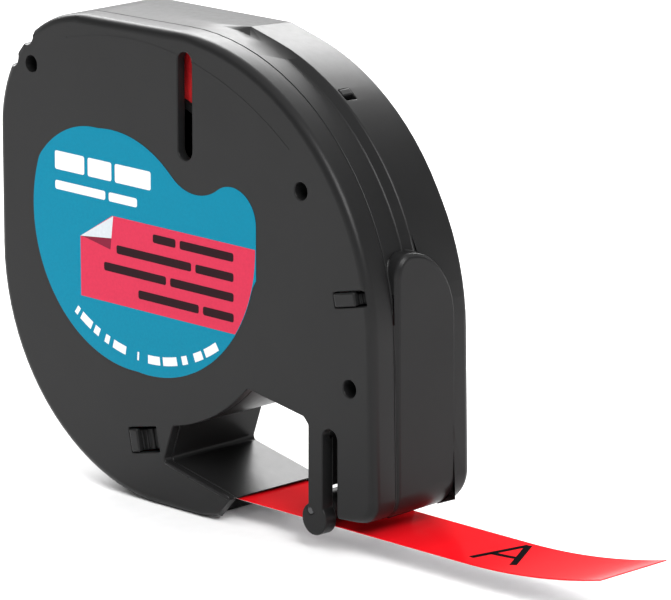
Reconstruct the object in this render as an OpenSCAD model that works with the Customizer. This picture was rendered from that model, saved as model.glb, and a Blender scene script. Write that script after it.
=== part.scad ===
// Tape cassette for a label printer: a two-part casing round a spool of adhesive tape, whose free
// end leaves under a slanted sill, passes below a small guide roller and lies out to the right.
// Frame, in millimetres: +X along the tape's run, +Y from the front face to the rear face, +Z up.
// The origin is on the spool's axis, in the plane of the rear face.

/* [Casing] */
// Depth of the casing, front face to rear face
case_depth = 16.4; // [16.2:0.1:18]
// Thickness of the moulded walls
wall = 1.4; // [1.2:0.1:1.5]
// Depth of the front cover, front face to seam
seam_depth = 3.9; // [3.5:0.1:4.4]
// Radius of the rounded edge round the front face
edge_r = 1.2; // [0.6:0.1:1.4]
// Radius of the arc over the upper right
shoulder_r = 36.3; // [36:0.1:36.5]
// Radius of the arc round the lower left
belly_r = 30.55; // [30.35:0.05:30.7]
// Radius of the upper left corner
corner_r = 16.9; // [16.7:0.1:17.1]
// Distance of the step in the side wall from the front face
step_depth = 7.3; // [7:0.1:8]
// Height of the thumb pad's top above the spool's axis
pad_top = 2.6; // [1:0.1:3]

/* [Tape] */
// Width of the tape
tape_w = 12; // [9:0.5:12]
// Thickness of the printed film
film_t = 0.14; // [0.1:0.01:0.16]
// Thickness of the backing paper
liner_t = 0.08; // [0.06:0.01:0.1]
// Outer radius of the wound tape
roll_r = 24.4; // [20:0.1:24.5]
// Outer radius of the spool
core_r = 18.35; // [18:0.05:19]
// Distance from the spool's axis to the tape's free end
tape_reach = 79; // [60:0.5:90]
// Radius of the curl at the free end
curl_r = 98; // [70:1:150]

/* [Guide roller] */
// Outer radius of the roller
roller_r = 1.95; // [1.7:0.05:1.95]
// Radius of its pin
pin_r = 0.6; // [0.5:0.05:0.7]

/* [Holes] */
// Radius of the three locating holes
hole_r = 1.15; // [1:0.05:1.3]
// Width of the view slot
view_w = 2.7; // [2:0.1:3]
// Thickness of the front label
label_t = 0.1; // [0.06:0.02:0.2]

/* [Hidden] */

charcoal = [0.2, 0.2, 0.21];
front_y = -case_depth;
inside_y = front_y + wall;
seam_y = front_y + seam_depth;
step_y = front_y + step_depth;
mid_y = -case_depth / 2;
tape_y = [mid_y - tape_w / 2, mid_y + tape_w / 2];
edge_t = 2;                 // thickness of the two legs that flank the roller
eps = 0.01;
left_x = -28.55;            // left end of the casing
foot_z = -37.3;             // flat that the cassette stands on

// Circles that the casing's outline is wrapped round, anticlockwise from the lip: [x, z, radius]
toe = [9.6, -35.5, 1.85];
heel = [39, -29, 3.2];
shoulder = [5.5, 26.7 - shoulder_r, shoulder_r];
corner = [left_x + corner_r, 26.4 - corner_r, corner_r];
belly = [left_x + belly_r, -6.9, belly_r];
rim_shoulder = [7.2, -8.6, 35.5];
rim_peak = [11.3, 26.6, 0.4];
rear_heel = [38.25, -27.2, 5];
rear_side = [9.3, -9.25, 33.6];
rear_shoulder = [7.2, -8.6, 35.1];
rear_peak = [11.3, 26.2, 0.4];
case_circles = [toe, heel, shoulder, corner, belly];
rim_circles = [toe, heel, rim_shoulder, rim_peak, corner, belly];
rear_circles = [toe, rear_heel, rear_side, rear_shoulder, rear_peak, corner, belly];

// Head window
sill_tip = [15.8, -33.7];
sill_left = [3.2, -31.1];
sill_under = 0.3;          // thickness of the sill at its tip
arch_r = 26.4;              // outside of the wall round the wound tape
arch_a = [-79, -43.6];
lintel_end = [29.4, -19.9];
leg_x = [30.25, 32.8];
under_z = -32.2;            // underside of the casing, right of the window
slot_x = [leg_x[1], 35.5];
slot_top = -20.7;
channel_x = [31.6, 35.5];
pillar_z = -29.2;           // lower end of the wall behind the leg

// Roller, its pin and the feet that hold it
pin_at = [30.7, -32];
foot = [31.3, -33.1, 2.15];
pin_gap = 0.08;

// Path of the tape: down the left side, round the belly and out along a level line
tape_top = -34.05;
guide_at = [belly[0], belly[1]];
guide_r = guide_at[1] - tape_top;
lead_top = 1.5;
tail_x = guide_at[0] + 0.8;
curl_x = 56;
curl_a = asin((tape_reach - curl_x) / curl_r);

holes = [[-21.8, 18.5], [29, 9.5], [37.7, -14.7]];
view_z = [10.1, 24.3];
view_x = 7.7;

// Snap latches of the face: [x, z, width, height, share of the width that the lug fills]
latches = [[37.7, -3.05, 5.6, 2, 0.66], [-0.5, -28.85, 5.4, 3.4, 0.27]];
latch_tilt = 12;
latch_steps = 4;            // steps of the ramp behind each lug
snap_w = 1.9;               // side of the square snap window in the rim
snap_a = 54.8;
snap_y = step_y + 2.45;
pad_apex_y = -10;
pad_y = [seam_y + 0.1, -2.9];
pad_x = [42.2, 43.1];       // its face, at the front end and at the rear end
pad_heel_r = [3.2, 4.6];
pad_round = 0.5;

function arc(c, r, a0, a1, n) =
    [for (i = [0:n]) let (a = a0 + (a1 - a0) * i / n) [c[0] + r * cos(a), c[1] + r * sin(a)]];

// Direction of the outward normal of the line that touches circles a and b, going anticlockwise
function touch(a, b) =
    let (d = [b[0] - a[0], b[1] - a[1]]) atan2(d[1], d[0]) - acos((a[2] - b[2]) / norm(d));

// Outline wrapped round a ring of circles, each made smaller by inset
function wrapped(circles, inset) =
    let (n = len(circles))
    [for (i = [0:n - 1])
        let (
            c = circles[i],
            a0 = touch(circles[(i + n - 1) % n], c),
            turn = touch(c, circles[(i + 1) % n]) - a0,
            span = turn - 360 * floor(turn / 360)
        )
        each arc(c, c[2] - inset, a0, a0 + span, max(3, ceil(span / 4)))
    ];

// Stands a flat shape up in the XZ plane, filling from y0 to y1
module slab(y0, y1) {
    translate([0, y1, 0]) rotate([90, 0, 0]) linear_extrude(y1 - y0) children();
}

module disc(c, r, y0, y1) {
    translate([c[0], y1, c[1]]) rotate([90, 0, 0]) cylinder(r = r, h = y1 - y0, $fn = 64);
}

module case_2d(inset = 0) {
    polygon(wrapped(case_circles, inset));
}

module window_2d() {
    offset(r = 0.6, $fn = 32) offset(delta = -0.6)
        polygon(concat(
            [[11.3, -38.6], sill_tip, sill_left],
            arc([0, 0], arch_r, arch_a[0], arch_a[1], 16),
            [lintel_end, [leg_x[0], lintel_end[1] - 0.9], [leg_x[0], -38.6]]
        ));
}

module rounded_slot_2d(x, top) {
    r = (x[1] - x[0]) / 2;
    translate([x[0] + r, top - r]) circle(r = r, $fn = 48);
    translate([x[0], -45]) square([x[1] - x[0], top - r + 45]);
}

// Open space left of the right-hand section, between the two plates
module channel_2d() {
    rounded_slot_2d(channel_x, slot_top);
    translate([leg_x[0] - 0.5, -45]) square([channel_x[0] - leg_x[0] + 0.6, 45 + pillar_z]);
}

module undercut_2d() {
    translate([leg_x[0] - 0.1, -45]) square([30, 45 + under_z]);
}

// Everything inside the outline that the casing walls in
module region_2d() {
    difference() {
        case_2d();
        window_2d();
        channel_2d();
        undercut_2d();
    }
}

// The way out under the sill
module exit_2d() {
    polygon([
        [6, -33.1], [sill_tip[0] + 0.6, sill_tip[1] - sill_under], [18, -38.5],
        [10.6, -38.5], [10.6, belly[1] - belly_r + wall], [6, belly[1] - belly_r + wall]
    ]);
}

module hollow_2d() {
    offset(delta = -wall) region_2d();
    exit_2d();
}

// The walls round the window and the channel belong to the rear shell over their whole depth
module window_zone_2d() {
    translate([1.6, -34.6]) square([35.4, 18.4]);
}

module leg_2d() {
    translate([leg_x[0], foot[1]]) square([leg_x[1] - leg_x[0], slot_top - 1.6 - foot[1]]);
    translate([foot[0], foot[1]]) circle(r = foot[2], $fn = 64);
}

module leg(y0, y1) {
    difference() {
        slab(y0, y1) leg_2d();
        disc(pin_at, pin_r, y0 - 1, y1 + 1);
    }
}

module view_slot() {
    r = view_w / 2;
    slab(front_y - 1, inside_y + 1) {
        translate([view_x - r, view_z[0] + r]) square([view_w, view_z[1] - view_z[0] - view_w]);
        for (z = [view_z[0] + r, view_z[1] - r]) translate([view_x, z]) circle(r = r, $fn = 48);
    }
}

// Front plate and skirt, with the rounded edge built up from parallel outlines
module front_blank() {
    hull() for (a = [0, 30, 60, 90])
        slab(front_y + edge_r * (1 - cos(a)), seam_y) case_2d(edge_r * (1 - sin(a)));
}

// Two round bites in the upper left corner, which leave a knob beside the locating hole
module corner_bites(y0, y1) {
    slab(y0, y1) translate([corner[0], corner[1]]) {
        for (a = [131.5, 146.5]) rotate(a) translate([corner_r, 0]) circle(r = 1.3, $fn = 40);
        rotate(139) translate([corner_r - 0.45, -2]) square([2, 4]);
    }
}

// Levels the underside, so that the cassette stands on a flat
module below_foot(y0, y1) {
    slab(y0, y1) translate([-20, foot_z - 2]) square([60, 2]);
}

// Shallow line that follows the top of the face
module face_line() {
    centre = [-2.4, -23.1];
    slab(front_y - 1, front_y + 0.12)
        polygon(concat(arc(centre, 47.9, 52, 105, 24), arc(centre, 47.7, 105, 52, 24)));
}

module front_shell() color(charcoal) {
    difference() {
        union() {
            difference() {
                front_blank();
                slab(inside_y, seam_y + 1) {
                    hollow_2d();
                    window_zone_2d();
                    channel_2d();
                }
                slab(front_y - 1, seam_y + 1) {
                    window_2d();
                    rounded_slot_2d(slot_x, slot_top);
                    undercut_2d();
                }
                corner_bites(front_y - 1, seam_y + 1);
                below_foot(front_y - 1, seam_y + 1);
                face_line();
            }
            for (p = holes) disc(p, hole_r + 1.1, inside_y - eps, seam_y);
        }
        for (p = holes) disc(p, hole_r, front_y - 1, seam_y + 1);
        view_slot();
        for (l = latches) at_latch(l) slab(front_y - 1, seam_y + 1) square([l[2], l[3]], center = true);
    }
    leg(front_y, front_y + edge_t);
}

// Side wall of the rear shell: plain up to the step, then a raised rim that widens to the rear
module rear_blank() {
    slab(seam_y, step_y) case_2d();
    hull() {
        slab(step_y, step_y + 1) case_2d();
        slab(step_y + 1, step_y + 1.2) polygon(wrapped(rim_circles, 0));
        slab(-1, -0.8) polygon(wrapped(rear_circles, 0));
        slab(-1, -0.25) polygon(wrapped(rear_circles, 0.25));
        slab(-1, 0) polygon(wrapped(rear_circles, 0.75));
    }
}

// Outline of the thumb pad seen from the side, in Y and Z, made smaller by inset
module pad_2d(inset, far_inset) {
    near = [pad_apex_y - pad_y[0] - inset, 3.2 - inset];
    far = [pad_y[1] - pad_apex_y - far_inset, 8.9];
    top = pad_top - inset;
    polygon(concat(
        [for (a = [180:-9:90]) [pad_apex_y + near[0] * cos(a), top - near[1] * (1 - sin(a))]],
        [for (a = [81:-9:0]) [pad_apex_y + far[0] * cos(a), top - far[1] * (1 - sin(a))]],
        [[pad_y[1] - far_inset, -40], [pad_y[0] + inset, -40]]
    ));
}

module pad_arch(inset, far_inset = 0) {
    translate([pad_x[0] - 2.2, 0, 0]) rotate([90, 0, 90]) linear_extrude(5) pad_2d(inset, far_inset);
}

// Solid behind the pad's flat face, which runs out to the rear and turns round the heel below
module pad_wedge(inset) {
    hull() for (i = [0, 1]) {
        x = pad_x[i] - inset;
        r = pad_heel_r[i];
        y = pad_y[i] + (i == 0 ? -0.3 : 0.3);
        slab(y, y + eps)
            polygon(concat([[36, 6], [36, under_z]], arc([x - r, under_z + r], r, 270, 360, 8), [[x, 6]]));
    }
}

// Flat tongue with an arched top that stands out of the right side
module thumb_pad() {
    hull() {
        intersection() {
            pad_wedge(0);
            pad_arch(pad_round);
        }
        intersection() {
            pad_wedge(pad_round);
            pad_arch(0);
        }
    }
}

// Moves a shape made round the origin to the snap window in the rim, with +X pointing outwards
module at_snap() {
    translate([rim_shoulder[0], snap_y, rim_shoulder[1]]) rotate([0, -snap_a, 0])
        translate([rim_shoulder[2], 0, 0]) children();
}

module snap_window() {
    at_snap() translate([-2, -snap_w / 2, -snap_w / 2]) cube([3, snap_w, snap_w]);
}

// Nub that half fills the snap window, on its upper side
module snap_nub() {
    at_snap() translate([-wall, -snap_w / 2 - 0.1, 0]) cube([wall - 0.4, snap_w * 0.6, snap_w / 2 + 0.1]);
}

// Places a shape, drawn flat round the origin, at a latch and tilts it
module at_latch(l) {
    translate([l[0], 0, l[1]]) rotate([0, -latch_tilt, 0]) children();
}

// Lug of a latch and the stepped ramp behind it, on a post that stands on the rear plate
module latch_post(l) {
    lug_w = l[2] * l[4];
    left = -l[2] / 2 + 0.2;
    step_w = (l[2] - 0.4 - lug_w) / latch_steps;
    bottom = -l[3] / 2 + 0.15;
    h = l[3] - 0.55;
    at_latch(l) {
        slab(front_y + 0.3, -wall / 2) translate([left, bottom]) square([lug_w, h]);
        for (i = [1:latch_steps]) slab(front_y + 0.5 + 0.3 * i, -wall / 2)
            translate([left + lug_w + (i - 1) * step_w - eps, bottom]) square([step_w + eps, h]);
    }
}

module rear_shell() color(charcoal) {
    difference() {
        union() {
            difference() {
                rear_blank();
                translate([0.3, 0, 0]) pad_arch(0.05, 0.05);
            }
            thumb_pad();
        }
        slab(seam_y - 1, -wall) {
            hollow_2d();
            channel_2d();
        }
        slab(seam_y - 1, 1) {
            window_2d();
            rounded_slot_2d(slot_x, slot_top);
            undercut_2d();
        }
        corner_bites(seam_y - 1, seam_y + 2.55);
        below_foot(seam_y - 1, 1);
        snap_window();
        for (p = [[-19, -4], [12, 19], [34, -26], [-6, -31]]) disc(p, 1.6, -0.1, 1);
    }
    snap_nub();
    difference() {
        slab(inside_y, seam_y + eps) intersection() {
            difference() {
                region_2d();
                hollow_2d();
            }
            window_zone_2d();
        }
        slab(inside_y - 1, front_y + edge_t) translate([leg_x[0] - 1, -45])
            square([channel_x[0] - leg_x[0] + 2, slot_top + 43.4]);
        below_foot(inside_y - 1, seam_y + 1);
    }
    difference() {
        disc([0, 0], core_r - 1.45, -11, -wall + eps);
        disc([0, 0], core_r - 2.75, -12, -wall);
    }
    for (l = latches) latch_post(l);
    leg(-edge_t, 0);
}

module tape_core() color([0.13, 0.13, 0.14]) {
    difference() {
        disc([0, 0], core_r, tape_y[0] - 0.2, tape_y[1] + 0.2);
        disc([0, 0], core_r - 1.25, tape_y[0] - 1, tape_y[1] + 1);
    }
}

module tape_roll() color([0.85, 0.1, 0.12]) {
    difference() {
        disc([0, 0], roll_r, tape_y[0], tape_y[1]);
        disc([0, 0], core_r + 0.05, tape_y[0] - 1, tape_y[1] + 1);
    }
}

// One layer of the still tape between roll and lip, from depth d0 to d1 below its upper surface
module lead(d0, d1) {
    slab(tape_y[0], tape_y[1]) polygon(concat(
        [[guide_at[0] - guide_r - d0, lead_top]],
        arc(guide_at, guide_r + d0, 180, 270, 40),
        [[tail_x - 0.3, tape_top - d0], [tail_x - 0.3, tape_top - d1]],
        arc(guide_at, guide_r + d1, 270, 180, 40),
        [[guide_at[0] - guide_r - d1, lead_top]]
    ));
}

// One layer of the free end: a level stretch, then the curl
module free_end(d0, d1) {
    curl_c = [curl_x, tape_top + curl_r];
    slab(tape_y[0], tape_y[1]) polygon(concat(
        [[tail_x, tape_top - d1]],
        arc(curl_c, curl_r + d1, 270, 270 + curl_a, 10),
        arc(curl_c, curl_r + d0, 270 + curl_a, 270, 10),
        [[tail_x, tape_top - d0]]
    ));
}

module tape_lead_film() color([0.85, 0.1, 0.12]) lead(0, film_t);
module tape_lead_liner() color("ivory") lead(film_t, film_t + liner_t);
module tape_film() color([0.85, 0.1, 0.12]) free_end(0, film_t);
module tape_liner() color("ivory") free_end(film_t, film_t + liner_t);

module guide_roller() color([0.1, 0.1, 0.1]) {
    difference() {
        disc(pin_at, roller_r, tape_y[0] + 0.1, tape_y[1] - 0.1);
        disc(pin_at, pin_r + pin_gap, tape_y[0] - 1, tape_y[1] + 1);
    }
}

module guide_pin() color("gray") disc(pin_at, pin_r, front_y + 0.15, -0.15);

// Outline of the label: a wide bowl below, a big lobe upper left and a small one upper right
module label_2d() {
    bowl = [[-2.3, -0.45, 19.35], [0.5, 0.4, 20.3]];       // left and right half
    crown = [[-6.4, -5.4, 17.35], [-9.5, -1.9, 13.7]];
    lobe = [16.35, 3.45, 4.5];
    dip_r = 7;
    offset(r = -dip_r, $fn = 96) offset(delta = dip_r) {
        offset(r = 3, $fn = 96) offset(delta = -3) intersection() {
            translate([bowl[0][0], bowl[0][1]]) circle(r = bowl[0][2], $fn = 120);
            union() {
                for (c = crown) translate([c[0], c[1]]) circle(r = c[2], $fn = 120);
                translate([-30, -30]) square([60, 30 + crown[0][1]]);
            }
        }
        intersection() {
            translate([bowl[1][0], bowl[1][1]]) circle(r = bowl[1][2], $fn = 120);
            translate([-2, -30]) square([30, 30 + bowl[1][1]]);
        }
        translate([lobe[0], lobe[1]]) circle(r = lobe[2], $fn = 64);
        translate([lobe[0], bowl[1][1] - 1]) square([lobe[2], lobe[1] - bowl[1][1] + 1]);
    }
}

module front_label() color([0, 0.55, 0.68]) slab(front_y - label_t, front_y) label_2d();

front_shell();
rear_shell();
tape_core();
tape_roll();
tape_lead_film();
tape_lead_liner();
tape_film();
tape_liner();
guide_roller();
guide_pin();
front_label();
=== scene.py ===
"""Label tape cassette: moulded casing, wound red tape, guide roller and printed front label."""

from math import asin, cos, pi, radians, sin, sqrt

import bmesh
import bpy
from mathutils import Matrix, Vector


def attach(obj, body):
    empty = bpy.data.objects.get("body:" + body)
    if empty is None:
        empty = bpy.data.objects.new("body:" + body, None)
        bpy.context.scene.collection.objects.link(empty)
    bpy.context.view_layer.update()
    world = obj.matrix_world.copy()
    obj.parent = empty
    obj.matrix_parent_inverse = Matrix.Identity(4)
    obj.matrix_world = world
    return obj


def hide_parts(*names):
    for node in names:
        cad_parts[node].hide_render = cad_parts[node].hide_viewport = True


MM = 0.001
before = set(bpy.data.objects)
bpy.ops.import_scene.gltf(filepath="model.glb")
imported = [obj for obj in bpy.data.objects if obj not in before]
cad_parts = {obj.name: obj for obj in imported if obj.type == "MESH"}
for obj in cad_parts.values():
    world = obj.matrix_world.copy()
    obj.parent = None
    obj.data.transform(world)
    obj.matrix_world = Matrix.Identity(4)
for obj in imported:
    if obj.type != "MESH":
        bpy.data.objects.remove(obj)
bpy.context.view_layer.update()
scene = bpy.context.scene

# Sizes shared with the cassette's design, in millimetres
FRONT_Y = -16.4
FLOOR_Z = -37.3
TAPE_Y = (-14.2, -2.2)                # front and rear edge of the tape
TAPE_TOP = -34.05                     # upper face of the tape where it runs level
FILM_T = 0.14
LINER_T = 0.08
ROLL_R = 24.4
CORE_R = 18.35
TONGUE_START = 2.8                    # where the free end begins, behind the sill
CURL_START = 56.0
CURL_R = 98.0
TAPE_REACH = 79.0
ROLLER_AT = (30.7, -32.0)
ROLLER_R = 1.95
PIN_R = 0.6
LABEL_BOWL = (0.5, 0.4, 20.3)         # centre and radius of the label's round lower part
LINE_AT = (-2.4, -23.1, 47.8)         # centre and radius of the line round the face
RIM_AT = (7.2, -8.6, 35.45)           # centre and radius of the rim where the snap window is
SNAP_ANGLE = radians(54.8)
SNAP_Y = -6.65
BITES_AT = (-24.4, 20.6, 4.4)         # x, z and reach of the bitten corner, whose edges stay sharp

# Sizes of the looks alone
FACE_LINE = (0.12, 0.03)              # depth of the line round the face in the solid, and here
LABEL_Y = -16.46
PRINT_Y = -16.475
TOP_PRINT_Y = -16.49
OVERLAP = 0.002                       # how far each layer of print reaches into the one below
CASING_ROUND = 0.14                   # width of the rounding on the casing's edges
SOLID_MERGE = 0.004                   # points of a copied solid that are nearer than this become one
TURNED_MERGE = 0.0005
ONE_FACE = radians(1.0)               # neighbouring faces of a copied solid within this angle become one

# Angles between faces, in degrees, above which an edge shows as an edge
MOULDED = 38
TURNED = 32
FLAT = 30
BEADED = 60


# ---------------------------------------------------------------- materials


class Finish:
    """A procedural material whose patterns are laid out in object coordinates."""

    def __init__(self, name):
        self.material = bpy.data.materials.new(name)
        self.material.use_nodes = True
        self.tree = self.material.node_tree
        self.shader = self.tree.nodes["Principled BSDF"]
        self.coords = self.tree.nodes.new("ShaderNodeTexCoord").outputs["Object"]

    def sockets(self, **values):
        for name, value in values.items():
            self.shader.inputs[name.replace("_", " ")].default_value = value

    def link(self, a, b):
        self.tree.links.new(a, b)

    def stretched(self, scale):
        node = self.tree.nodes.new("ShaderNodeMapping")
        node.inputs["Scale"].default_value = scale
        self.link(self.coords, node.inputs["Vector"])
        return node.outputs["Vector"]

    def noise(self, scale, detail=3.0, rough=0.5, vector=None):
        node = self.tree.nodes.new("ShaderNodeTexNoise")
        node.inputs["Scale"].default_value = scale
        node.inputs["Detail"].default_value = detail
        node.inputs["Roughness"].default_value = rough
        self.link(vector or self.coords, node.inputs["Vector"])
        return node.outputs["Fac"]

    def ramp(self, value, stops):
        """Turns a value into a colour between two stops, each (place, tone)."""
        node = self.tree.nodes.new("ShaderNodeValToRGB")
        for (place, tone), element in zip(stops, node.color_ramp.elements):
            element.position = place
            element.color = (*tone, 1)
        self.link(value, node.inputs["Fac"])
        return node.outputs["Color"]

    def spread(self, value, low, high):
        node = self.tree.nodes.new("ShaderNodeMapRange")
        node.inputs["To Min"].default_value = low
        node.inputs["To Max"].default_value = high
        self.link(value, node.inputs["Value"])
        return node.outputs["Result"]

    def bump(self, heights):
        """Adds layers of relief, each (height, strength, depth in metres)."""
        last = None
        for value, strength, depth in heights:
            node = self.tree.nodes.new("ShaderNodeBump")
            node.inputs["Strength"].default_value = strength
            node.inputs["Distance"].default_value = depth
            self.link(value, node.inputs["Height"])
            if last is not None:
                self.link(last, node.inputs["Normal"])
            last = node.outputs["Normal"]
        self.link(last, self.shader.inputs["Normal"])

    def colour(self, output):
        self.link(output, self.shader.inputs["Base Color"])

    def roughness(self, output):
        self.link(output, self.shader.inputs["Roughness"])


def grey(value):
    """A grey that is very slightly blue."""
    return (value, value, value * 1.02)


def moulded_plastic(name, tone, rough):
    """Satin moulded plastic: slow flow marks, a fine spark texture and slightly uneven gloss."""
    f = Finish(name)
    flow = f.noise(scale=90, detail=4, rough=0.55)
    spark = f.noise(scale=5200, detail=2, rough=0.6)
    uneven = f.noise(scale=900, detail=3, rough=0.5)
    f.colour(f.ramp(flow, [(0.3, grey(tone * 0.93)), (0.7, grey(tone * 1.07))]))
    f.roughness(f.spread(uneven, rough - 0.05, rough + 0.05))
    f.bump([(spark, 0.12, 0.00002), (uneven, 0.06, 0.00004)])
    f.sockets(Specular_IOR_Level=0.155)
    return f.material


def glossy_film():
    """Red coated film with a hard gloss and faint draw lines along its run."""
    f = Finish("red_film")
    lines = f.noise(scale=1.0, detail=2, rough=0.5, vector=f.stretched((20, 2600, 20)))
    slow = f.noise(scale=60, detail=2)
    f.colour(f.ramp(slow, [(0.3, (0.72, 0.006, 0.011)), (0.7, (0.79, 0.009, 0.015))]))
    f.roughness(f.spread(lines, 0.09, 0.13))
    f.bump([(lines, 0.03, 0.00001)])
    f.sockets(IOR=1.05)
    return f.material


def wound_film():
    """Cut edges of the wound film: duller and more uneven than its face."""
    f = Finish("wound_red_film")
    grain = f.noise(scale=3500, detail=2)
    slow = f.noise(scale=300, detail=3)
    f.colour(f.ramp(slow, [(0.3, (0.60, 0.010, 0.016)), (0.7, (0.82, 0.030, 0.035))]))
    f.roughness(f.spread(grain, 0.42, 0.58))
    f.bump([(grain, 0.15, 0.00001)])
    return f.material


def release_paper():
    """Pale backing paper, with fibres along its run."""
    f = Finish("release_paper")
    fibres = f.noise(scale=1.0, detail=5, rough=0.6, vector=f.stretched((700, 2200, 2200)))
    f.colour(f.ramp(fibres, [(0.35, (0.80, 0.78, 0.80)), (0.65, (0.88, 0.86, 0.87))]))
    f.roughness(f.spread(fibres, 0.42, 0.55))
    f.bump([(fibres, 0.2, 0.00001)])
    return f.material


def printed(name, tone, rough=0.38, **more):
    """Ink on a satin sticker: an even colour with a slight press mottle."""
    f = Finish(name)
    mottle = f.noise(scale=2500, detail=3, rough=0.6)
    low = tuple(c * 0.965 for c in tone)
    high = tuple(min(1.0, c * 1.035) for c in tone)
    f.colour(f.ramp(mottle, [(0.35, low), (0.65, high)]))
    f.roughness(f.spread(mottle, rough - 0.04, rough + 0.04))
    f.bump([(mottle, 0.06, 0.00001)])
    f.sockets(Specular_IOR_Level=0.06, **more)
    return f.material


def drawn_wire():
    """Dark drawn steel with lines along the pin."""
    f = Finish("drawn_wire")
    lines = f.noise(scale=1.0, detail=3, rough=0.6, vector=f.stretched((4000, 120, 4000)))
    f.colour(f.ramp(lines, [(0.3, (0.07, 0.07, 0.072)), (0.7, (0.12, 0.12, 0.123))]))
    f.roughness(f.spread(lines, 0.28, 0.42))
    f.bump([(lines, 0.1, 0.00001)])
    f.sockets(Metallic=1.0)
    return f.material


casing_plastic = moulded_plastic("charcoal_plastic", tone=0.0115, rough=0.33)
core_plastic = moulded_plastic("core_plastic", tone=0.012, rough=0.5)
roller_plastic = moulded_plastic("roller_plastic", tone=0.02, rough=0.45)
red_film = glossy_film()
red_edges = wound_film()
paper = release_paper()
wire = drawn_wire()
teal_ink = printed("teal_ink", (0.0, 0.20, 0.315))
pink_ink = printed("pink_ink", (0.59, 0.031, 0.075))
white_ink = printed("white_ink", (0.78, 0.79, 0.80))
fold_white = printed("fold_white", (0.58, 0.63, 0.66))
fold_shadow = printed("fold_shadow", (0.20, 0.012, 0.035))
dark_ink = printed("dark_ink", (0.018, 0.003, 0.006))
black_ink = printed("black_ink", (0.006, 0.005, 0.006), rough=0.5, IOR=1.03)


# ---------------------------------------------------------------- mesh helpers


def new_piece(name, mesh, material, body, replaces=None):
    obj = bpy.data.objects.new(name, mesh)
    scene.collection.objects.link(obj)
    mesh.materials.clear()
    mesh.materials.append(material)
    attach(obj, body)
    if replaces:
        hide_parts(replaces)
    return obj


def mesh_from(name, verts, faces):
    """A mesh from points in millimetres."""
    mesh = bpy.data.meshes.new(name)
    mesh.from_pydata([Vector(v) * MM for v in verts], [], faces)
    mesh.validate()
    return mesh


def face_outwards(mesh):
    bm = bmesh.new()
    bm.from_mesh(mesh)
    bmesh.ops.recalc_face_normals(bm, faces=bm.faces)
    bm.to_mesh(mesh)
    bm.free()


def shade(mesh, angle):
    """Smooth shading that breaks at edges sharper than the angle."""
    mesh.polygons.foreach_set("use_smooth", [True] * len(mesh.polygons))
    bm = bmesh.new()
    bm.from_mesh(mesh)
    limit = radians(angle)
    for e in bm.edges:
        e.smooth = len(e.link_faces) == 2 and e.calc_face_angle(pi) < limit
    bm.to_mesh(mesh)
    bm.free()


def closed_piece(name, verts, faces, angle, material, body, replaces=None):
    mesh = mesh_from(name, verts, faces)
    face_outwards(mesh)
    shade(mesh, angle)
    return new_piece(name, mesh, material, body, replaces)


def apart(x, z, centre):
    """Distance of a point on a plane that faces the front from a centre (x, z)."""
    return sqrt((x - centre[0]) ** 2 + (z - centre[1]) ** 2)


def on_face_line(co):
    x, y, z = (c / MM for c in co)
    near = 0.2
    return y < FRONT_Y + near and abs(apart(x, z, LINE_AT) - LINE_AT[2]) < near


def in_corner_bites(co):
    return apart(co.x / MM, co.z / MM, BITES_AT) < BITES_AT[2]


def rounded_edges(obj, width, angle=MOULDED, segments=2):
    """Rounds every edge sharper than the angle, but for the face line and the bitten corner."""
    bm = bmesh.new()
    bm.from_mesh(obj.data)
    weight = bm.edges.layers.float.new("bevel_weight_edge")
    for e in bm.edges:
        sharp = len(e.link_faces) == 2 and e.calc_face_angle(0) > radians(angle)
        line = all(on_face_line(v.co) for v in e.verts)
        bitten = any(in_corner_bites(v.co) for v in e.verts)
        e[weight] = 1.0 if sharp and not (line or bitten) else 0.0
    bm.to_mesh(obj.data)
    bm.free()
    bevel = obj.modifiers.new("rounded_edges", "BEVEL")
    bevel.width = width * MM
    bevel.segments = segments
    bevel.limit_method = "WEIGHT"
    bevel.use_clamp_overlap = False
    bevel.miter_outer = "MITER_ARC"
    normals = obj.modifiers.new("even_normals", "WEIGHTED_NORMAL")
    normals.keep_sharp = True
    normals.weight = 80


def shallower_face_line(bm):
    """Lifts the floor of the line round the face, which is deeper in the solid."""
    solid, here = FACE_LINE
    tolerance = 0.01
    for v in bm.verts:
        if abs(v.co.y / MM - (FRONT_Y + solid)) < tolerance:
            v.co.y = (FRONT_Y + here) * MM


def moulding(name, node):
    """A casing half taken from the design's solid, with its faces joined up and its edges rounded."""
    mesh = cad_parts[node].data.copy()
    mesh.name = name
    bm = bmesh.new()
    bm.from_mesh(mesh)
    shallower_face_line(bm)
    bmesh.ops.remove_doubles(bm, verts=bm.verts, dist=SOLID_MERGE * MM)
    bmesh.ops.dissolve_degenerate(bm, dist=SOLID_MERGE * MM, edges=bm.edges)
    bmesh.ops.dissolve_limit(
        bm, angle_limit=ONE_FACE, use_dissolve_boundaries=False, verts=bm.verts, edges=bm.edges
    )
    bm.to_mesh(mesh)
    bm.free()
    for attribute in [a for a in mesh.attributes if a.name == "custom_normal"]:
        mesh.attributes.remove(attribute)
    shade(mesh, MOULDED)
    rounded_edges(new_piece(name, mesh, casing_plastic, "root", node), CASING_ROUND)


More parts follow.
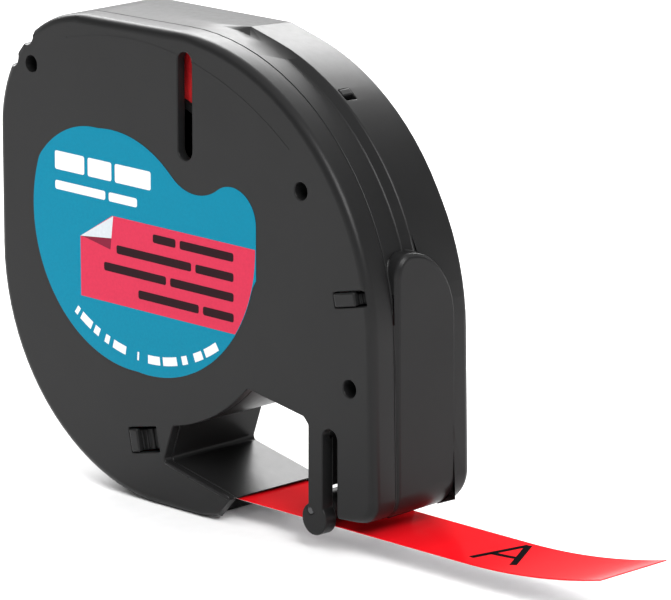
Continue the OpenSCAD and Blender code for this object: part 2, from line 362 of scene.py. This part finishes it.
def turned(name, profile, centre, steps, material, body, replaces):
    """A piece turned about an axis along Y, from a closed profile of (radius, y)."""
    n = len(profile)
    verts = []
    faces = []
    for i in range(steps):
        a = 2 * pi * i / steps
        for r, y in profile:
            verts.append((centre[0] + r * cos(a), y, centre[1] + r * sin(a)))
    for i in range(steps):
        j = (i + 1) % steps
        for k in range(n):
            m = (k + 1) % n
            if profile[k][0] == 0 and profile[m][0] == 0:
                continue
            faces.append((i * n + k, i * n + m, j * n + m, j * n + k))
    mesh = mesh_from(name, verts, faces)
    bm = bmesh.new()
    bm.from_mesh(mesh)
    bmesh.ops.remove_doubles(bm, verts=bm.verts, dist=TURNED_MERGE * MM)
    bmesh.ops.dissolve_degenerate(bm, dist=TURNED_MERGE * MM, edges=bm.edges)
    bmesh.ops.recalc_face_normals(bm, faces=bm.faces)
    bm.to_mesh(mesh)
    bm.free()
    shade(mesh, TURNED)
    new_piece(name, mesh, material, body, replaces)


def plate(name, outline, y_front, y_back, material, body, slot="label"):
    """A thin flat piece that faces the front, from an outline of (x, z) points."""
    area = sum(a[0] * b[1] - b[0] * a[1] for a, b in zip(outline, outline[1:] + outline[:1]))
    points = outline if area > 0 else outline[::-1]
    n = len(points)
    verts = [(x, y_front, z) for x, z in points] + [(x, y_back, z) for x, z in points]
    faces = [tuple(range(n)), tuple(range(2 * n - 1, n - 1, -1))]
    faces += [(i, i + n, (i + 1) % n + n, (i + 1) % n) for i in range(n)]
    mesh = mesh_from(name, verts, faces)
    shade(mesh, FLAT)
    return new_piece(name, mesh, material, body)


def joined(name, pieces):
    """Makes several small pieces one."""
    bm = bmesh.new()
    for p in pieces:
        bm.from_mesh(p.data)
    bm.to_mesh(pieces[0].data)
    bm.free()
    first = pieces[0]
    for p in pieces[1:]:
        bpy.data.objects.remove(p)
    first.name = name
    first.data.name = name
    shade(first.data, FLAT)


# ---------------------------------------------------------------- casing

LATCH_TILT = radians(12)
LATCH_Y = (FRONT_Y - 0.22, FRONT_Y + 0.7)  # the lugs stand proud of the face, and reach into it
LATCHES = [
    # name, place (x, z) in the face, span across and rise along the tilt
    ("latch_cap_right", (37.7, -3.05), (-2.65, 1.15), (-0.92, 0.9)),
    ("latch_cap_left", (-0.5, -28.85), (-2.55, -0.95), (-1.6, 1.5)),
]
SNAP_DEPTHS = (-1.0, 0.05)            # the nub's inner and outer face, from the rim's radius
SNAP_HALF = 0.93                      # half the nub's width, and also its upper end
SNAP_LOW = -0.1                       # the nub's lower end
SILL_EDGE = [(3.3, -31.15), (3.6, -31.22), (5.5, -31.65), (9.5, -32.48), (13.5, -33.3), (15.2, -33.63),
             (15.5, -33.7)]
SILL_BEAD_R = 0.24
SILL_BEAD_IN = 0.12                   # how far the bead's middle lies behind the face


def snap_cap():
    """Nub that fills the upper half of the snap window in the rim."""
    out = Vector((cos(SNAP_ANGLE), 0, sin(SNAP_ANGLE)))
    up = Vector((-sin(SNAP_ANGLE), 0, cos(SNAP_ANGLE)))
    centre = Vector((RIM_AT[0], SNAP_Y, RIM_AT[1])) + out * RIM_AT[2]
    corners = [(-SNAP_HALF, SNAP_LOW), (SNAP_HALF, SNAP_LOW), (SNAP_HALF, SNAP_HALF), (-SNAP_HALF, SNAP_HALF)]
    verts = []
    for depth in SNAP_DEPTHS:
        for y, t in corners:
            verts.append(tuple(centre + out * depth + up * t + Vector((0, y, 0))))
    faces = [(0, 1, 2, 3), (4, 7, 6, 5), (0, 4, 5, 1), (1, 5, 6, 2), (2, 6, 7, 3), (3, 7, 4, 0)]
    nub = closed_piece("snap_cap", verts, faces, MOULDED, casing_plastic, "root")
    rounded_edges(nub, 0.16, segments=3)


def latch_cap(name, place, span, rise):
    """Rounded lug of a snap latch, which fills the near side of its window in the face."""
    (x0, x1), (z0, z1) = span, rise
    outline = []
    for x, z in [(x0, z0), (x1, z0), (x1, z1), (x0, z1)]:
        across = place[0] + x * cos(LATCH_TILT) - z * sin(LATCH_TILT)
        height = place[1] + x * sin(LATCH_TILT) + z * cos(LATCH_TILT)
        outline.append((across, height))
    lug = plate(name, outline, *LATCH_Y, casing_plastic, "root", "casing")
    rounded_edges(lug, 0.26, segments=4)


def bead(name, path, radius, y):
    """A round moulded bead that runs along a path of (x, z) points, thinner at its two ends."""
    sides = 12
    thin = 0.35
    end = len(path) - 1
    verts = []
    for i, (x, z) in enumerate(path):
        a = path[max(i - 1, 0)]
        b = path[min(i + 1, end)]
        along = Vector((b[0] - a[0], 0, b[1] - a[1])).normalized()
        across = Vector((-along.z, 0, along.x))
        r = radius * (thin if i in (0, end) else 1)
        for k in range(sides):
            t = 2 * pi * k / sides
            verts.append(tuple(Vector((x, y, z)) + across * (r * cos(t)) + Vector((0, r * sin(t), 0))))
    faces = []
    for i in range(end):
        for k in range(sides):
            m = (k + 1) % sides
            faces.append((i * sides + k, i * sides + m, (i + 1) * sides + m, (i + 1) * sides + k))
    last = end * sides
    faces += [tuple(range(sides - 1, -1, -1)), tuple(last + k for k in range(sides))]
    closed_piece(name, verts, faces, BEADED, casing_plastic, "root")


moulding("front_cover", "front_shell")
moulding("rear_housing", "rear_shell")
snap_cap()
for latch in LATCHES:
    latch_cap(*latch)
bead("sill_bead", SILL_EDGE, SILL_BEAD_R, FRONT_Y + SILL_BEAD_IN)


# ---------------------------------------------------------------- spool and wound tape

WINDINGS = 27                         # the ring's width over the thickness of film and backing


def spool_profile():
    """Plain ring with chamfered edges, a little wider than the tape."""
    wall = 1.25
    beyond = 0.2
    c = 0.25                          # chamfer
    inner = CORE_R - wall
    y0 = TAPE_Y[0] - beyond
    y1 = TAPE_Y[1] + beyond
    return [
        (inner, y0 + c), (inner + c, y0), (CORE_R - c, y0), (CORE_R, y0 + c),
        (CORE_R, y1 - c), (CORE_R - c, y1), (inner + c, y1), (inner, y1 - c),
    ]


def wound_profile():
    """Each winding of film and backing stands out a little, with a fine groove between."""
    play = 0.03
    groove = 0.09
    outermost = 0.06
    flat = (0.25, 0.8)                # where a winding's flat begins and ends, as shares of its width
    inner = CORE_R + 0.05
    pitch = (ROLL_R - inner) / WINDINGS
    front = []
    back = []
    for i in range(WINDINGS):
        r = inner + i * pitch
        proud = 0.02 * ((i * 7) % 4) / 3  # one of four heights, by turns
        y0 = TAPE_Y[0] + play - proud
        y1 = TAPE_Y[1] - play + proud
        front += [(r, TAPE_Y[0] + groove), (r + flat[0] * pitch, y0), (r + flat[1] * pitch, y0)]
        back += [(r, TAPE_Y[1] - groove), (r + flat[0] * pitch, y1), (r + flat[1] * pitch, y1)]
    front.append((ROLL_R, TAPE_Y[0] + outermost))
    back.append((ROLL_R, TAPE_Y[1] - outermost))
    return front + back[::-1]


turned("spool", spool_profile(), (0, 0), 128, core_plastic, "spool", "tape_core")
turned("wound_tape", wound_profile(), (0, 0), 160, red_edges, "spool", "tape_roll")


# ---------------------------------------------------------------- guide roller and pin


def roller_profile():
    """Roller with chamfered ends and three shallow grooves round it."""
    short = 0.1
    clearance = 0.08
    bore_c = 0.1                      # chamfer at the bore
    c = 0.22                          # chamfer outside
    groove_at = (0.25, 0.5, 0.75)     # shares of the roller's length
    groove_half = 0.22
    groove_floor = 0.1
    groove_depth = 0.12
    y0 = TAPE_Y[0] + short
    y1 = TAPE_Y[1] - short
    bore = PIN_R + clearance
    floor_r = ROLLER_R - groove_depth
    out = [(bore, y0 + bore_c), (bore + bore_c, y0), (ROLLER_R - c, y0), (ROLLER_R, y0 + c)]
    for share in groove_at:
        y = y0 + (y1 - y0) * share
        out += [(ROLLER_R, y - groove_half), (floor_r, y - groove_floor),
                (floor_r, y + groove_floor), (ROLLER_R, y + groove_half)]
    out += [(ROLLER_R, y1 - c), (ROLLER_R - c, y1), (bore + bore_c, y1), (bore, y1 - bore_c)]
    return out


def pin_profile():
    """Plain pin with domed ends, just proud of the front face and just inside the rear one."""
    proud = 0.02
    inside = 0.02
    c = 0.16                          # height of the dome
    crown = 0.01                      # how far the dome has fallen at 2 c from the pin's side
    shoulder = 0.07                   # how far it has fallen at half of c
    y0 = FRONT_Y - proud
    y1 = -inside
    return [(0, y0), (PIN_R - 2 * c, y0 + crown), (PIN_R - 0.5 * c, y0 + shoulder), (PIN_R, y0 + c),
            (PIN_R, y1 - c), (PIN_R - 0.5 * c, y1 - shoulder), (PIN_R - 2 * c, y1 - crown), (0, y1)]


turned("guide_roller_wheel", roller_profile(), ROLLER_AT, 64, roller_plastic, "roller",
       "guide_roller")
turned("roller_pin", pin_profile(), ROLLER_AT, 40, wire, "root", "guide_pin")


# ---------------------------------------------------------------- free end of the tape

TAPE_STEP = 1.0
TAPE_CELLS = 6                        # cells across the tape
TAPE_END = TAPE_REACH - 0.04
LAYER_SHIFT = 0.999                   # how far a lower layer moves along X on a slope, of the exact shift
LAYER_GAP = 0.002
LETTER_STROKES = [((54.9, -12.0), (56.6, -3.2)), ((61.3, -11.1), (56.6, -3.2)), ((55.55, -8.9), (59.4, -8.4))]
LETTER_WIDTH = 0.95
LETTER_Z = (0.006, -0.002)            # top and bottom of the ink, from the film's face


def tape_line(x):
    """Height of the tape's upper face, and the slope there, at x along its run."""
    if x <= CURL_START:
        return TAPE_TOP, 0.0
    a = asin((x - CURL_START) / CURL_R)
    return TAPE_TOP + CURL_R * (1 - cos(a)), a


def tape_stations():
    """Places along the free end, evenly spaced but for the last."""
    stations = [TONGUE_START + 0.05]
    while stations[-1] < TAPE_END - 1.01 * TAPE_STEP:
        stations.append(stations[-1] + TAPE_STEP)
    stations.append(TAPE_END)
    return stations


def tape_strip(name, top, bottom, inset, material, replaces):
    """One layer of the free end, between two depths below the tape's upper face."""
    stations = tape_stations()
    y0 = TAPE_Y[0] + inset
    y1 = TAPE_Y[1] - inset
    side = TAPE_CELLS + 1
    row = 2 * side
    verts = []
    for x in stations:
        z, a = tape_line(x)
        for depth in (top, bottom):
            for k in range(side):
                y = y0 + (y1 - y0) * k / TAPE_CELLS
                verts.append((x + depth * sin(a) * LAYER_SHIFT, y, z - depth * cos(a)))
    faces = []
    for i in range(len(stations) - 1):
        for k in range(TAPE_CELLS):
            a, b = i * row + k, (i + 1) * row + k
            faces.append((a, b, b + 1, a + 1))
            faces.append((a + side, a + side + 1, b + side + 1, b + side))
        for k in (0, TAPE_CELLS):
            a, b = i * row + k, (i + 1) * row + k
            faces.append((a, a + side, b + side, b) if k == 0 else (a, b, b + side, a + side))
    for i in (0, len(stations) - 1):
        for k in range(TAPE_CELLS):
            a = i * row + k
            c = a + side
            faces.append((a, a + 1, c + 1, c) if i == 0 else (a, c, c + 1, a + 1))
    closed_piece(name, verts, faces, FLAT, material, "tape", replaces)


def stroke(p, q, width):
    """Corners of a straight pen stroke from p to q, given as (x, y) on the tape."""
    d = Vector((q[0] - p[0], q[1] - p[1])).normalized() * (width / 2)
    n = Vector((-d.y, d.x))
    return [(p[0] + n.x, p[1] + n.y), (p[0] - n.x, p[1] - n.y),
            (q[0] - n.x, q[1] - n.y), (q[0] + n.x, q[1] + n.y)]


def sample_letter(name, strokes, width):
    """Printed strokes that lie on the film, following its curl."""
    cells = 8
    verts = []
    faces = []
    for p, q in strokes:
        corners = stroke(p, q, width)
        base = len(verts)
        for i in range(cells + 1):
            t = i / cells
            for side in (0, 1):
                a, b = corners[side], corners[3 - side]
                x, y = a[0] + (b[0] - a[0]) * t, a[1] + (b[1] - a[1]) * t
                z, _ = tape_line(x)
                verts += [(x, y, z + height) for height in LETTER_Z]
        for i in range(cells):
            a = base + 4 * i
            faces += [(a, a + 2, a + 6, a + 4), (a + 1, a + 5, a + 7, a + 3),
                      (a, a + 4, a + 5, a + 1), (a + 2, a + 3, a + 7, a + 6)]
        faces.append((base, base + 1, base + 3, base + 2))
        end = base + 4 * cells
        faces.append((end, end + 2, end + 3, end + 1))
    closed_piece(name, verts, faces, FLAT, black_ink, "tape")


tape_strip("tape_tongue", 0.004, FILM_T, 0.0, red_film, "tape_film")
tape_strip("tongue_backing", FILM_T + LAYER_GAP, FILM_T + LINER_T, 0.08, paper, "tape_liner")
sample_letter("sample_print", LETTER_STROKES, LETTER_WIDTH)
for node, finish in (("tape_lead_film", red_film), ("tape_lead_liner", paper)):
    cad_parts[node].data.materials.clear()
    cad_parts[node].data.materials.append(finish)


# ---------------------------------------------------------------- label

BAND = (-12.4, 0.45, -11.35)          # left side, top and bottom of the pink band
FOLD = (-3.25, -6.2)                  # where the cut corner meets the band's side, and its top
FOLD_FLAP = [(-12.4, -3.25), (-6.4, -2.6), (-6.0, 0.45)]
FOLD_SHADE = [(-11.2, -3.35), (-6.6, -4.15), (-6.4, -2.6), (-12.3, -3.25)]
SHADE_IN = 0.005                      # how far the shade lies behind the flap
TEXT_RIGHT = 16.75
TEXT_HEIGHT = 1.15
BAND_LINES = [
    # left end, right end, middle, height, and the share of each word
    (1.6, TEXT_RIGHT, -1.25, TEXT_HEIGHT, (3, 7)),
    (-5.4, TEXT_RIGHT, -3.9, TEXT_HEIGHT, (10, 5)),
    (-7.85, TEXT_RIGHT, -6.55, TEXT_HEIGHT, (8, 8)),
    (-1.25, TEXT_RIGHT, -9.25, TEXT_HEIGHT, (8, 4)),
]
TITLE_LINES = [
    (-17.25, 1.25, 6.3, 2.5, (5, 4, 6)),
    (-17.25, -1.4, 2.95, 1.2, (9, 5)),
]
BAND_GAP = 0.8
TITLE_GAP = 0.7
SIZE_ARC = ((0.3, 5.8), 23.5)         # centre and radius of the marks along the lower edge
# Where each mark along the arc begins and ends, in degrees
SIZE_SPANS = [(234.5, 236), (237.5, 243), (244.5, 247), (250, 252), (254, 260), (265.5, 266.2), (270.5, 276),
              (277.5, 284), (286.5, 289), (292.5, 296.5), (298, 304.5)]


def label_outline():
    """The label's outline, read from the front of its solid."""
    bm = bmesh.new()
    bm.from_mesh(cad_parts["front_label"].data)
    bmesh.ops.remove_doubles(bm, verts=bm.verts, dist=0.002 * MM)
    edges = {}
    for e in bm.edges:
        a, b = e.verts
        if max(a.co.y, b.co.y) < (FRONT_Y - 0.05) * MM and e.calc_face_angle(0) > radians(60):
            edges.setdefault(a.index, []).append(b.index)
            edges.setdefault(b.index, []).append(a.index)
    bm.verts.ensure_lookup_table()
    start = min(edges)
    ring, last, here = [start], None, start
    while True:
        ahead = [v for v in edges[here] if v != last]
        last, here = here, ahead[0]
        if here == start:
            break
        ring.append(here)
    points = [(bm.verts[i].co.x / MM, bm.verts[i].co.z / MM) for i in ring]
    bm.free()
    return points


def bowl_edge(z, inset):
    """The label's right edge at a height, less an inset."""
    x, cz, r = LABEL_BOWL
    return x + sqrt((r - inset) ** 2 - (z - cz) ** 2)


def band_outline():
    """The pink band, with its upper left corner cut and its right end on the label's edge."""
    left, top, bottom = BAND
    steps = 14
    heights = [top + (bottom - top) * i / steps for i in range(steps + 1)]
    return [(left, bottom), (left, FOLD[0]), (FOLD[1], top)] + [(bowl_edge(z, 0.06), z) for z in heights]


def bar(x0, x1, z_mid, height, radius=0.3):
    """Outline of a bar with rounded corners."""
    half = height / 2
    r = min(radius, half)
    corner_steps = 4
    points = []
    for cx, cz, a0 in ((x1 - r, z_mid - half + r, -90), (x1 - r, z_mid + half - r, 0),
                       (x0 + r, z_mid + half - r, 90), (x0 + r, z_mid - half + r, 180)):
        for k in range(corner_steps + 1):
            a = radians(a0 + 90 / corner_steps * k)
            points.append((cx + r * cos(a), cz + r * sin(a)))
    return points


def words(x0, x1, z_mid, height, lengths, gap):
    """A line of blank word bars that fills x0 to x1, with the given shares of its length."""
    free = (x1 - x0) - gap * (len(lengths) - 1)
    total = sum(lengths)
    at = x0
    out = []
    for share in lengths:
        w = free * share / total
        out.append(bar(at, at + w, z_mid, height))
        at += w + gap
    return out


def word_bars(lines, gap):
    """Outlines of the word bars of several lines."""
    return [outline for line in lines for outline in words(*line, gap)]


def curved_bar(a0, a1, centre, r, height):
    """Outline of a bar bent along an arc, from angle a0 to a1."""
    steps = max(2, int((a1 - a0) / 2))

    def arc(radius, start, change):
        angles = [radians(start + change * i / steps) for i in range(steps + 1)]
        return [(centre[0] + radius * cos(a), centre[1] + radius * sin(a)) for a in angles]

    return arc(r + height / 2, a0, a1 - a0) + arc(r - height / 2, a1, a0 - a1)


def printed_marks(name, outlines, y_back, ink):
    """Flat marks of one ink on top of the print, made one piece."""
    joined(name, [plate("mark", outline, TOP_PRINT_Y, y_back, ink, "root") for outline in outlines])


sheet = plate("label_sheet", label_outline(), LABEL_Y, FRONT_Y, teal_ink, "root")
rounded_edges(sheet, 0.02, 50)
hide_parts("front_label")
plate("label_band", band_outline(), PRINT_Y, LABEL_Y + OVERLAP, pink_ink, "root")
plate("folded_corner", FOLD_FLAP, TOP_PRINT_Y, LABEL_Y + OVERLAP, fold_white, "root")
plate("fold_shade", FOLD_SHADE, TOP_PRINT_Y + SHADE_IN, LABEL_Y + OVERLAP, fold_shadow, "root")
size_bars = [curved_bar(a0, a1, *SIZE_ARC, TEXT_HEIGHT) for a0, a1 in SIZE_SPANS]
printed_marks("band_lines", word_bars(BAND_LINES, BAND_GAP), PRINT_Y + OVERLAP, dark_ink)
printed_marks("title_bars", word_bars(TITLE_LINES, TITLE_GAP), LABEL_Y + OVERLAP, white_ink)
printed_marks("size_marks", size_bars, LABEL_Y + OVERLAP, white_ink)


# ---------------------------------------------------------------- floor, light and camera

FLOOR_REACH = 3000
# Brightness of the room by the sine of the height above the horizon: a dark belt, and a broad light above
SKY = [(0.0, 0.55), (0.2, 0.55), (0.28, 0.22), (0.55, 0.22), (0.75, 1.0), (1.0, 1.0)]
SKY_POWER = 1.35
CAMERA_AT = (512.05, -489.89, 165.25)  # in millimetres
CAMERA_AZIMUTH = radians(45.2)
CAMERA_ELEVATION = radians(14.1)
CAMERA_LENS = 295.1


def floor():
    corners = [(-1, -1), (1, -1), (1, 1), (-1, 1)]
    verts = [(x * FLOOR_REACH, y * FLOOR_REACH, FLOOR_Z) for x, y in corners]
    mesh = mesh_from("floor", verts, [(0, 1, 2, 3)])
    obj = bpy.data.objects.new("floor", mesh)
    scene.collection.objects.link(obj)
    f = Finish("pale_floor")
    grain = f.noise(scale=400, detail=3)
    f.colour(f.ramp(grain, [(0.3, (0.90, 0.90, 0.90)), (0.7, (0.93, 0.93, 0.93))]))
    f.roughness(f.spread(grain, 0.75, 0.85))
    f.bump([(grain, 0.05, 0.0001)])
    f.sockets(Specular_IOR_Level=0.1)
    mesh.materials.append(f.material)


def soft_light(name, place, target, size, power):
    """A rectangular light that faces the target; places and sizes in metres."""
    data = bpy.data.lights.new(name, "AREA")
    data.shape = "RECTANGLE"
    data.size, data.size_y = size
    data.energy = power
    obj = bpy.data.objects.new(name, data)
    scene.collection.objects.link(obj)
    obj.location = Vector(place)
    obj.rotation_euler = (Vector(target) - Vector(place)).to_track_quat("-Z", "Y").to_euler()


def key_light(name, towards, spread, strength):
    """A broad distant light that comes from the given direction."""
    data = bpy.data.lights.new(name, "SUN")
    data.angle = radians(spread)
    data.energy = strength
    obj = bpy.data.objects.new(name, data)
    scene.collection.objects.link(obj)
    obj.rotation_euler = Vector(towards).to_track_quat("Z", "Y").to_euler()


def studio():
    world = bpy.data.worlds.new("studio")
    scene.world = world
    world.use_nodes = True
    tree = world.node_tree
    coords = tree.nodes.new("ShaderNodeTexCoord")
    split = tree.nodes.new("ShaderNodeSeparateXYZ")
    ramp = tree.nodes.new("ShaderNodeValToRGB")
    tree.links.new(coords.outputs["Generated"], split.inputs["Vector"])
    tree.links.new(split.outputs["Z"], ramp.inputs["Fac"])
    tree.links.new(ramp.outputs["Color"], tree.nodes["Background"].inputs["Color"])
    stops = ramp.color_ramp
    while len(stops.elements) < len(SKY):
        stops.elements.new(0.5)
    for element, (height, tone) in zip(stops.elements, SKY):
        element.position = height
        element.color = (tone, tone, tone, 1)
    tree.nodes["Background"].inputs["Strength"].default_value = SKY_POWER
    scene.view_settings.view_transform = "Standard"
    scene.view_settings.look = "None"


def camera():
    data = bpy.data.cameras.new("camera")
    data.sensor_width = 36
    data.lens = CAMERA_LENS
    data.clip_start = 0.05
    data.clip_end = 20
    obj = bpy.data.objects.new("camera", data)
    scene.collection.objects.link(obj)
    a, e = CAMERA_AZIMUTH, CAMERA_ELEVATION
    back = Vector((sin(a) * cos(e), -cos(a) * cos(e), sin(e)))
    obj.location = Vector(CAMERA_AT) * MM
    obj.rotation_euler = (-back).to_track_quat("-Z", "Y").to_euler()
    scene.camera = obj


floor()
studio()
soft_light("back_light", place=(-0.72, 0.70, 0.67), target=(-0.02, 0, 0.67), size=(1.3, 0.6), power=26)
key_light("key_light", towards=(0.72, -0.30, 0.70), spread=30, strength=2.5)
camera()
